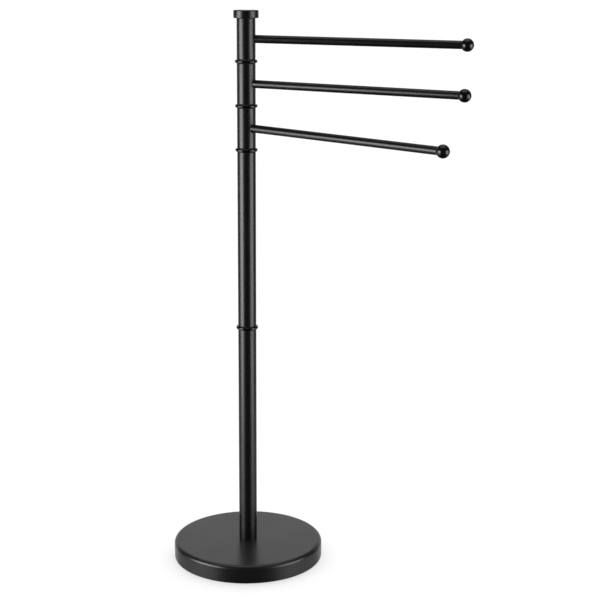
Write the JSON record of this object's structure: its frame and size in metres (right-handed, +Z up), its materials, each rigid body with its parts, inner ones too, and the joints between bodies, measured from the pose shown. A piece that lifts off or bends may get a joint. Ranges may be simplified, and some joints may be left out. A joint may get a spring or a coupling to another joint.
{
  "type": "freestanding towel stand",
  "caption": "Freestanding towel stand with a round weighted base, a slim beaded post and swivelling rod arms tipped with balls, in satin black.",
  "frame": {"origin": "centre of the base's resting face, on the axis of the post", "axes": "+Z up along the post, -Y the front seen in the picture, +X the side the arms stand towards"},
  "size_m": [0.4084, 0.3411, 0.7936],
  "materials": {
    "black_satin": "satin",
    "raw_iron": "rough",
    "rubber_pad": "matte",
    "zinc_steel": "zinc plated",
    "nylon": "matte"
  },
  "bodies": {
    "stand": {"base_cover": "black_satin", "base_weight": "raw_iron", "base_pad": "rubber_pad", "base_bolt": "zinc_steel", "base_lock_washer": "zinc_steel", "base_flat_washer": "zinc_steel", "lower_post_tube": "black_satin", "lower_post_foot_plug": "zinc_steel", "lower_post_top_plug": "zinc_steel", "post_joint_stud": "zinc_steel", "post_joint_bead": "black_satin", "upper_post_tube": "black_satin", "upper_post_bottom_plug": "zinc_steel", "upper_post_top_plug": "zinc_steel", "swivel_spindle": "zinc_steel", "top_cap": "black_satin", "bottom_swivel_bead": "black_satin", "middle_swivel_bead": "black_satin", "top_swivel_bead": "black_satin"},
    "bottom_arm": {"bottom_arm_collar": "black_satin", "bottom_arm_tube": "black_satin", "bottom_arm_ball": "black_satin", "bottom_arm_lower_bush": "nylon", "bottom_arm_upper_bush": "nylon"},
    "middle_arm": {"middle_arm_collar": "black_satin", "middle_arm_tube": "black_satin", "middle_arm_ball": "black_satin", "middle_arm_lower_bush": "nylon", "middle_arm_upper_bush": "nylon"},
    "top_arm": {"top_arm_collar": "black_satin", "top_arm_tube": "black_satin", "top_arm_ball": "black_satin", "top_arm_lower_bush": "nylon", "top_arm_upper_bush": "nylon"}
  },
  "joints": [
    {"name": "bottom_arm_swivel", "type": "hinge", "parent": "stand", "child": "bottom_arm", "pos_m": [0, 0, 0.63315], "axis": [0, 0, 1], "continuous": true},
    {"name": "middle_arm_swivel", "type": "hinge", "parent": "stand", "child": "middle_arm", "pos_m": [0, 0, 0.69405], "axis": [0, 0, 1], "continuous": true},
    {"name": "top_arm_swivel", "type": "hinge", "parent": "stand", "child": "top_arm", "pos_m": [0, 0, 0.75495], "axis": [0, 0, 1], "continuous": true}
  ]
}
